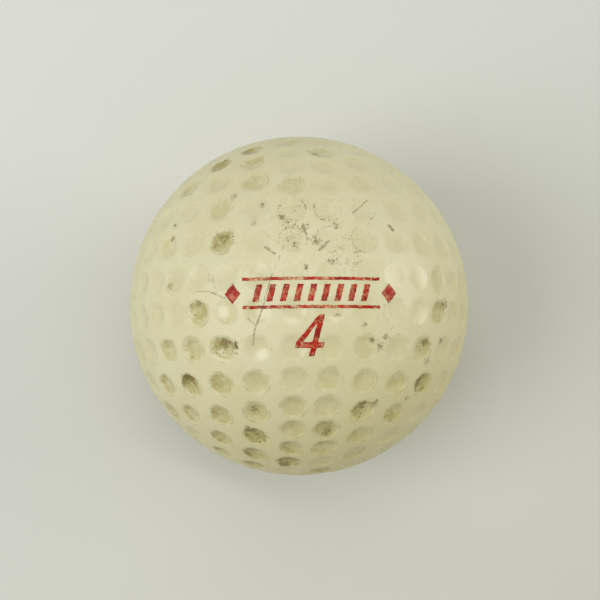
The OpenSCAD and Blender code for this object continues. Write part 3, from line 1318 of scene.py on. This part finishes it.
@dataclass
class GolfBall:
    """The whole ball: cover, prints, windings, sac and liquid."""

    surface: CoverSurface = field(default_factory=CoverSurface)
    effects: SharedEffects = field(default_factory=SharedEffects)

    def settle(
        self, piece: bpy.types.Object, node: str, material: bpy.types.Material
    ) -> None:
        """Gives a piece its finish and says which CAD node it stands for.

        Args:
            piece: the new piece.
            node: the CAD node that it replaces.
            material: its finish.
        """
        piece.data.materials.append(material)
        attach(piece, "root")
        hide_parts(node)
        LOG.info("%s stands for %s: %d points", piece.name, node, len(piece.data.vertices))

    def build_cover(self) -> None:
        """Both halves of the cover, in painted finish."""
        paint = PaintedCover().build(self.effects)
        for pole in Pole:
            half = CoverHalf(pole, self.surface).build()
            self.settle(half, f"cover_{pole.word}", paint)

    def build_prints(self) -> None:
        """The number and the band at each pole, in red ink."""
        ink = RedInk().build(self.effects)
        for pole in Pole:
            for figure in Figure:
                piece = StampedPrint(figure, pole, self.surface).build()
                self.settle(piece, f"{figure.value}_{pole.word}", ink)

    def build_windings(self) -> None:
        """The thread and the tape, each as a wound layer."""
        sizes = self.surface.sizes
        thread = Winding(
            "thread_layer", inner=sizes.tape, outer=sizes.core, strand=1.1 * MM, turns=420,
            relief=0.35 * MM, seed=SEED + 2,
        )
        tape = Winding(
            "tape_layer", inner=sizes.sac, outer=sizes.tape, strand=4.5 * MM, turns=60,
            relief=0.3 * MM, seed=SEED + 3,
        )
        self.settle(thread.build(), "thread_winding", THREAD_RUBBER.build(self.effects))
        self.settle(tape.build(), "tape_winding", TAPE_RUBBER.build(self.effects))

    def dress_centre(self) -> None:
        """Finishes for the CAD nodes of the centre, whose shape is already right."""
        sac = SAC_RUBBER.build(self.effects)
        finishes = {
            "sac_upper": sac, "sac_lower": sac, "filling_pellet": PELLET_RUBBER.build(self.effects),
            "centre_liquid": CentrePaste().build(self.effects),
        }
        for node, material in finishes.items():
            mesh = frame["nodes"][node].data
            mesh.materials.clear()
            mesh.materials.append(material)
            LOG.info("%s keeps its CAD shape in %s", node, material.name)


@dataclass(frozen=True)
class SoftLight:
    """A square soft light that looks at the ball."""

    name: str
    place: tuple[float, float, float]
    size: tuple[float, float]
    watts: float
    tint: tuple[float, float, float] = (1.0, 1.0, 1.0)

    def build(self) -> None:
        """Adds the light and points it at the origin."""
        lamp = bpy.data.lights.new(self.name, "AREA")
        lamp.shape = "RECTANGLE"
        lamp.size, lamp.size_y = self.size
        lamp.energy = self.watts
        lamp.color = self.tint
        light = bpy.data.objects.new(self.name, lamp)
        light.location = self.place
        light.rotation_euler = (-Vector(self.place)).to_track_quat("-Z", "Y").to_euler()
        bpy.context.scene.collection.objects.link(light)


@dataclass
class Studio:
    """Floor, lights and camera."""

    ball_radius: float
    floor_side: float = 6.0
    floor_gap: float = 0.03 * MM
    floor_cells: int = 8
    tilt_deg: tuple[float, float, float] = (-4.2, 3.98, 0.22)
    distance_radii: float = 6.33
    lens_mm: float = 63.5
    sensor_mm: float = 36.0
    nearest: float = 5 * MM
    aside_radii: float = 0.0065
    raise_radii: float = 0.0345
    ambient: float = 0.38
    air: Colour = (1.0, 0.995, 0.975, 1.0)
    lights: tuple[SoftLight, ...] = (
        SoftLight("window", (-0.51, -0.10, 0.54), (0.42, 0.42), 2.5, (0.96, 0.98, 1.0)),
        SoftLight("low fill", (0.70, 0.12, 0.24), (0.4, 0.3), 1.6, (1.0, 1.0, 0.97)),
        SoftLight("ceiling", (-0.04, 0.34, 0.84), (0.6, 0.6), 1.2, (1.0, 1.0, 0.99)),
        SoftLight("strip", (0.06, 0.15, 0.88), (0.85, 0.06), 1.2),
    )

    def clear(self) -> None:
        """Removes what a new file holds besides the frame."""
        kept = set(frame["nodes"].values()) | set(frame["bodies"].values())
        for item in [o for o in bpy.data.objects if o not in kept]:
            bpy.data.objects.remove(item)

    def build_floor(self, effects: SharedEffects) -> None:
        """A plain sheet just under the ball, on a coarse flat grid."""
        cells = self.floor_cells
        line = np.linspace(-0.5, 0.5, cells + 1) * self.floor_side
        x, y = np.meshgrid(line, line, indexing="ij")
        height = -self.ball_radius - self.floor_gap
        points = np.stack([x, y, np.full_like(x, height)], axis=-1).reshape(-1, 3)
        floor = make_piece("paper_floor", points, [grid_quads(cells, cells)])
        floor.data.materials.append(StudioPaper().build(effects))

    def build_world(self) -> None:
        """Even, pale light from all round."""
        world = bpy.data.worlds.new("studio air")
        world.use_nodes = True
        air = world.node_tree.nodes["Background"]
        air.inputs["Color"].default_value = self.air
        air.inputs["Strength"].default_value = self.ambient
        bpy.context.scene.world = world

    def build_camera(self) -> None:
        """Looks almost straight down on the upper print, from a little to the lower left."""
        x, y, z = (math.radians(a) for a in self.tilt_deg)
        seen = Matrix.Rotation(z, 4, "Z") @ Matrix.Rotation(y, 4, "Y") @ Matrix.Rotation(x, 4, "X")
        from_view = seen.transposed()
        offset = Vector((self.aside_radii, self.raise_radii, self.distance_radii)) * self.ball_radius
        lens = bpy.data.cameras.new("camera")
        lens.lens = self.lens_mm
        lens.sensor_width = self.sensor_mm
        lens.clip_start = self.nearest
        camera = bpy.data.objects.new("camera", lens)
        camera.matrix_world = Matrix.Translation(from_view @ offset) @ from_view
        bpy.context.scene.collection.objects.link(camera)
        bpy.context.scene.camera = camera

    def build(self, effects: SharedEffects) -> None:
        """Builds all of the studio."""
        bpy.context.scene.view_settings.view_transform = "Standard"
        self.build_floor(effects)
        self.build_world()
        self.build_camera()
        for light in self.lights:
            light.build()


def main() -> None:
    """Builds the studio and the ball in order."""
    logging.basicConfig(level=logging.INFO, format="%(name)s: %(message)s")
    ball = GolfBall()
    studio = Studio(ball.surface.sizes.ball)
    studio.clear()
    studio.build(ball.effects)
    ball.build_cover()
    ball.build_prints()
    ball.build_windings()
    ball.dress_centre()


if __name__ == "__main__":
    main()
